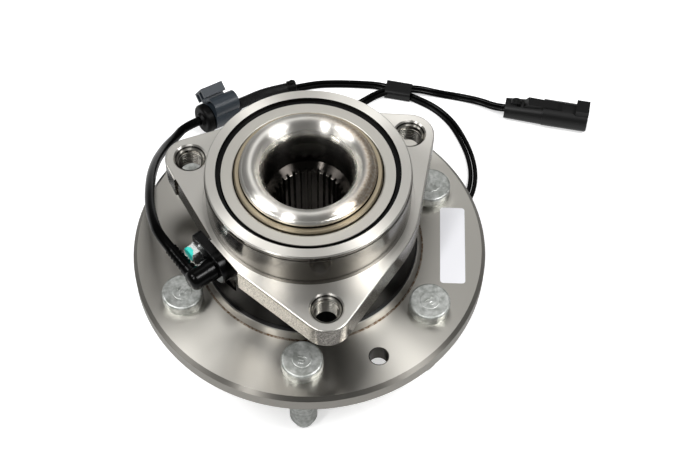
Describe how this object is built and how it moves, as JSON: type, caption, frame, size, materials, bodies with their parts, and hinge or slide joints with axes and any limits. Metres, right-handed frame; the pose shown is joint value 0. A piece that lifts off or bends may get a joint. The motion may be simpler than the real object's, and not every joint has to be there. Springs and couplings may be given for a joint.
{
  "type": "wheel hub bearing",
  "caption": "Flanged wheel hub bearing unit with wheel studs, splined bore, triangular mounting flange, wheel speed sensor and its wired connector lead.",
  "frame": {"origin": "on the spin axis, in the plane of the wheel mounting face of the hub flange", "axes": "+Z along the spin axis, inboard, towards the knuckle; -Y through one knuckle bolt hole, the one opposite the lead's connector side"},
  "size_m": [0.265, 0.2391, 0.1242],
  "materials": {
    "turned_steel": "fine turned, bright",
    "housing_steel": "ground and turned, bright",
    "bearing_steel": "ground",
    "ball_steel": "polished",
    "slinger_steel": "dull pressed sheet",
    "tone_steel": "sintered",
    "stud_steel": "zinc flake, matt",
    "cage_nylon": "natural nylon",
    "seal_rubber": "satin",
    "shield_black": "gloss electrocoat",
    "sensor_plastic": "satin moulded",
    "bush_brass": "turned",
    "screw_zinc": "zinc plated",
    "lead_rubber": "satin jacket",
    "grommet_rubber": "moulded",
    "clip_plastic": "satin extruded",
    "sleeve_black": "braided sleeve",
    "wire_black": "smooth insulation",
    "tape_black": "wound tape",
    "connector_plastic": "satin moulded",
    "pin_tin": "tinned",
    "label_film": "satin white label film, blank"
  },
  "bodies": {
    "housing": {"outer_ring": "housing_steel", "inboard_seal": "seal_rubber", "outboard_seal": "seal_rubber", "outboard_shield": "shield_black", "sensor_body": "sensor_plastic", "sensor_o_ring": "seal_rubber", "sensor_bush": "bush_brass", "sensor_screw": "screw_zinc", "lead_boot": "lead_rubber", "sensor_lead": "lead_rubber", "grommet": "grommet_rubber", "edge_clip": "clip_plastic", "lead_sleeve": "sleeve_black", "wire_breakout": "sleeve_black", "wire_a": "wire_black", "wire_b": "wire_black", "loop_tape": "tape_black", "connector_housing": "connector_plastic", "connector_pins": "pin_tin"},
    "hub": {"hub_spindle": "turned_steel", "wheel_studs": "stud_steel", "inner_ring": "bearing_steel", "inboard_slinger": "slinger_steel", "tone_ring": "tone_steel"},
    "inboard_row": {"inboard_balls": "ball_steel", "inboard_cage": "cage_nylon"},
    "outboard_row": {"outboard_balls": "ball_steel", "outboard_cage": "cage_nylon"}
  },
  "joints": [
    {"name": "hub_spin", "type": "hinge", "parent": "housing", "child": "hub", "pos_m": [0, 0, 0], "axis": [0, 0, 1], "continuous": true},
    {"name": "inboard_row_spin", "type": "hinge", "parent": "housing", "child": "inboard_row", "pos_m": [0, 0, 0], "axis": [0, 0, 1], "continuous": true},
    {"name": "outboard_row_spin", "type": "hinge", "parent": "housing", "child": "outboard_row", "pos_m": [0, 0, 0], "axis": [0, 0, 1], "continuous": true}
  ],
  "couplings": [
    {"joint": "inboard_row_spin", "follows": "hub_spin", "ratio": 0.431},
    {"joint": "outboard_row_spin", "follows": "hub_spin", "ratio": 0.431}
  ]
}
